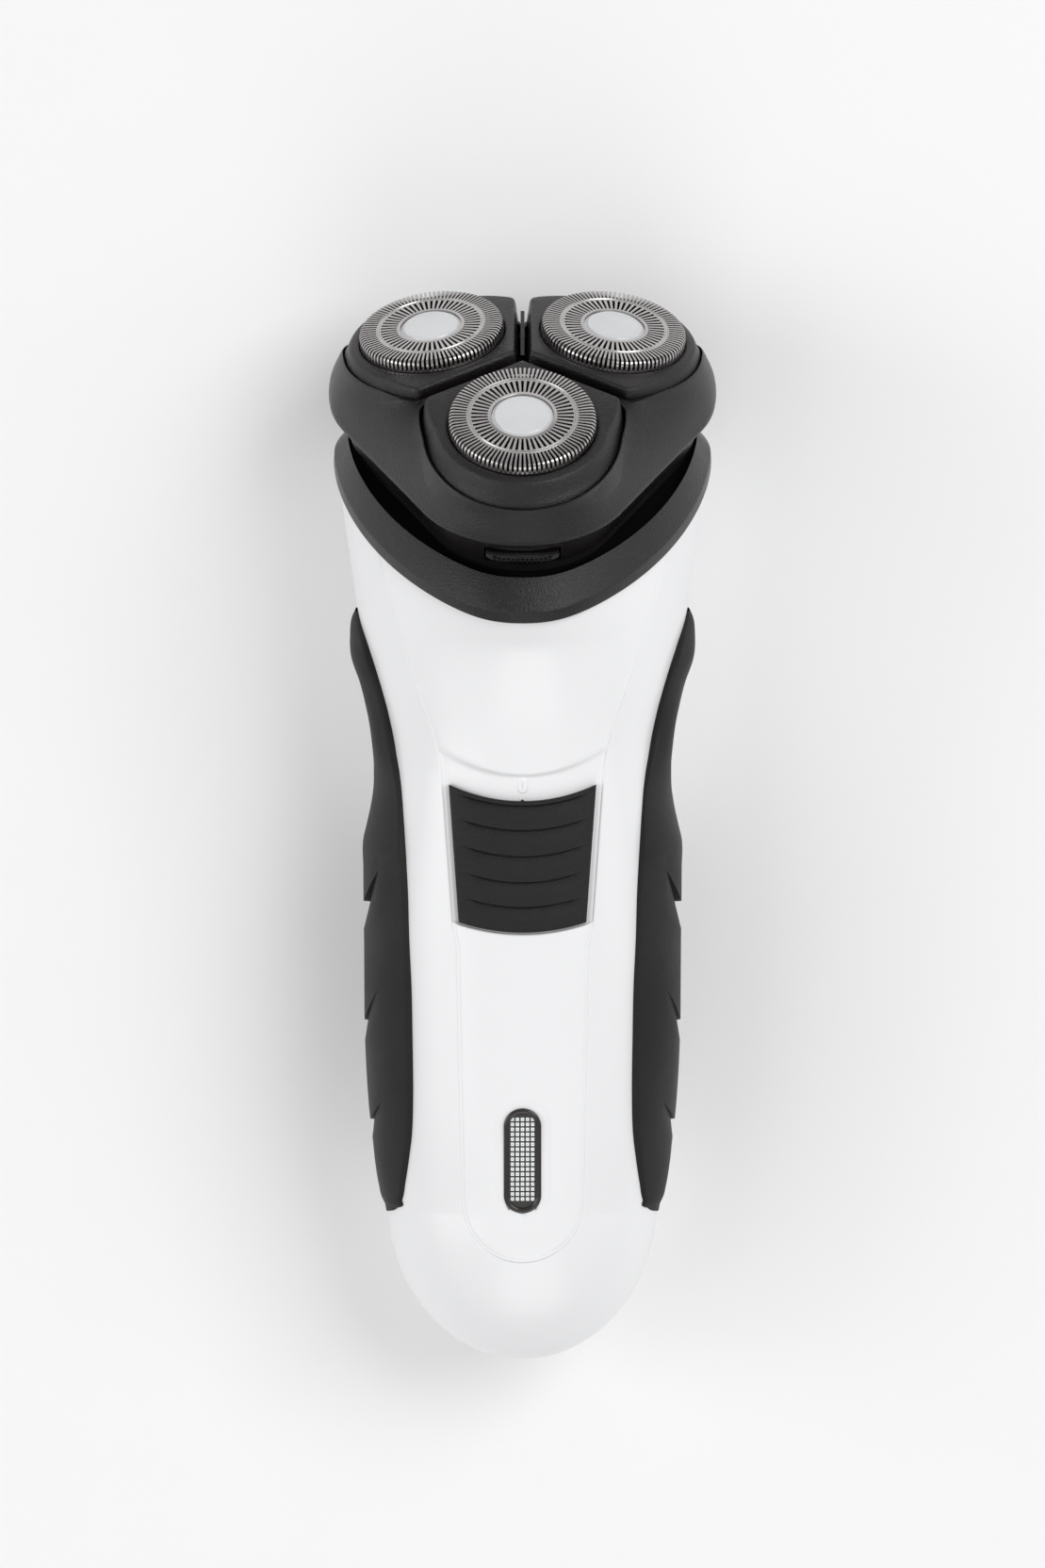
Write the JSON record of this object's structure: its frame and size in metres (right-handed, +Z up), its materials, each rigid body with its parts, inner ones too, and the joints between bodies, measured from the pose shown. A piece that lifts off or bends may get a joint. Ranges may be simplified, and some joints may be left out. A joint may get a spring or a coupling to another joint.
{
  "type": "electric shaver",
  "caption": "Cordless rotary shaver: two-shell handle with soft grips, sliding switch, charge window and a flip-open head with floating slotted caps over spinning cutters.",
  "frame": {"origin": "under the middle of the shaver, on the surface that it lies on", "axes": "+Z up, out of the shaver's front; +Y along the handle to the head; +X to the right"},
  "size_m": [0.06, 0.1674, 0.0584],
  "materials": {
    "white_shell": "glossy",
    "white_panel": "high gloss",
    "black_satin": "satin",
    "black_button": "fine texture",
    "grip_rubber": "soft matt",
    "black_gloss": "glossy",
    "window_lens": "clear over a grid",
    "led": "frosted",
    "board": "lacquered",
    "dark_plastic": "satin",
    "cell_wrap": "shrink wrap",
    "contact_metal": "plated",
    "screw_steel": "plain",
    "deck_plastic": "satin",
    "seal_rubber": "matt",
    "can_steel": "plated",
    "armature": "varnished windings",
    "gear_plastic": "satin",
    "cap_steel": "turned",
    "badge_white": "glossy",
    "blade_steel": "ground"
  },
  "bodies": {
    "handle": {"front_shell": "white_shell", "rear_shell": "white_shell", "fascia": "white_panel", "collar": "black_satin", "grip_left": "grip_rubber", "grip_right": "grip_rubber", "charge_bezel": "black_gloss", "charge_lens": "window_lens", "charge_led": "led", "circuit_board": "board", "slide_switch": "dark_plastic", "battery_cells": "cell_wrap", "battery_contacts": "contact_metal", "inlet_socket": "black_gloss", "inlet_pins": "contact_metal", "case_screws": "screw_steel", "rubber_feet": "seal_rubber", "drive_deck": "black_satin", "deck_seal": "seal_rubber", "gear_chassis": "deck_plastic", "motor_can": "can_steel"},
    "rotor": {"motor_rotor": "armature", "pinion": "gear_plastic"},
    "head": {"head_frame": "black_satin", "hinge_pin": "screw_steel"},
    "tab": {"release_tab": "black_satin"},
    "button": {"switch_button": "black_button"},
    "drive_front": {"gear_front": "gear_plastic", "spindle_front": "gear_plastic"},
    "pod_front": {"pod_front": "black_satin", "cap_front": "cap_steel", "badge_front": "badge_white", "retainer_front": "dark_plastic"},
    "cutter_front": {"cutter_front": "blade_steel"},
    "drive_right": {"gear_right": "gear_plastic", "spindle_right": "gear_plastic"},
    "pod_right": {"pod_right": "black_satin", "cap_right": "cap_steel", "badge_right": "badge_white", "retainer_right": "dark_plastic"},
    "cutter_right": {"cutter_right": "blade_steel"},
    "drive_left": {"gear_left": "gear_plastic", "spindle_left": "gear_plastic"},
    "pod_left": {"pod_left": "black_satin", "cap_left": "cap_steel", "badge_left": "badge_white", "retainer_left": "dark_plastic"},
    "cutter_left": {"cutter_left": "blade_steel"}
  },
  "joints": [
    {"name": "motor_spin", "type": "hinge", "parent": "handle", "child": "rotor", "pos_m": [0, 0.05298, 0.022], "axis": [0, 0.829, 0.5592], "continuous": true},
    {"name": "gear_front_spin", "type": "hinge", "parent": "handle", "child": "drive_front", "pos_m": [0, 0.04446, 0.03463], "axis": [0, 0.829, 0.5592], "continuous": true},
    {"name": "gear_right_spin", "type": "hinge", "parent": "handle", "child": "drive_right", "pos_m": [0.0132, 0.05724, 0.01568], "axis": [0, 0.829, 0.5592], "continuous": true},
    {"name": "gear_left_spin", "type": "hinge", "parent": "handle", "child": "drive_left", "pos_m": [-0.0132, 0.05724, 0.01568], "axis": [0, 0.829, 0.5592], "continuous": true},
    {"name": "head_open", "type": "hinge", "parent": "handle", "child": "head", "pos_m": [0, 0.07214, 0.00754], "axis": [-1, 0, 0], "range_deg": [0, 68]},
    {"name": "tab_press", "type": "slide", "parent": "head", "child": "tab", "axis": [0, 0.5592, -0.829], "range_m": [0, 0.0008], "stiffness_N_per_m": 200},
    {"name": "pod_front_tilt", "type": "hinge", "parent": "head", "child": "pod_front", "pos_m": [0, 0.05862, 0.04418], "axis": [1, 0, 0], "range_deg": [-3, 3], "stiffness_Nm_per_rad": 0.2},
    {"name": "cutter_front_spin", "type": "hinge", "parent": "pod_front", "child": "cutter_front", "pos_m": [0, 0.05862, 0.04418], "axis": [0, 0.7431, 0.6691], "continuous": true},
    {"name": "pod_right_tilt", "type": "hinge", "parent": "head", "child": "pod_right", "pos_m": [0.0132, 0.0714, 0.02523], "axis": [-0.5, 0.4843, -0.718], "range_deg": [-3, 3], "stiffness_Nm_per_rad": 0.2},
    {"name": "cutter_right_spin", "type": "hinge", "parent": "pod_right", "child": "cutter_right", "pos_m": [0.0132, 0.0714, 0.02523], "axis": [0.1205, 0.8599, 0.4961], "continuous": true},
    {"name": "pod_left_tilt", "type": "hinge", "parent": "head", "child": "pod_left", "pos_m": [-0.0132, 0.0714, 0.02523], "axis": [-0.5, -0.4843, 0.718], "range_deg": [-3, 3], "stiffness_Nm_per_rad": 0.2},
    {"name": "cutter_left_spin", "type": "hinge", "parent": "pod_left", "child": "cutter_left", "pos_m": [-0.0132, 0.0714, 0.02523], "axis": [-0.1205, 0.8599, 0.4961], "continuous": true},
    {"name": "switch_slide", "type": "slide", "parent": "handle", "child": "button", "axis": [0, 0.9979, 0.0645], "range_m": [0, 0.0034]}
  ],
  "couplings": [
    {"joint": "gear_front_spin", "follows": "motor_spin", "ratio": -0.66667},
    {"joint": "gear_right_spin", "follows": "motor_spin", "ratio": -0.66667},
    {"joint": "gear_left_spin", "follows": "motor_spin", "ratio": -0.66667},
    {"joint": "cutter_front_spin", "follows": "motor_spin", "ratio": -0.66667},
    {"joint": "cutter_right_spin", "follows": "motor_spin", "ratio": -0.66667},
    {"joint": "cutter_left_spin", "follows": "motor_spin", "ratio": -0.66667}
  ]
}
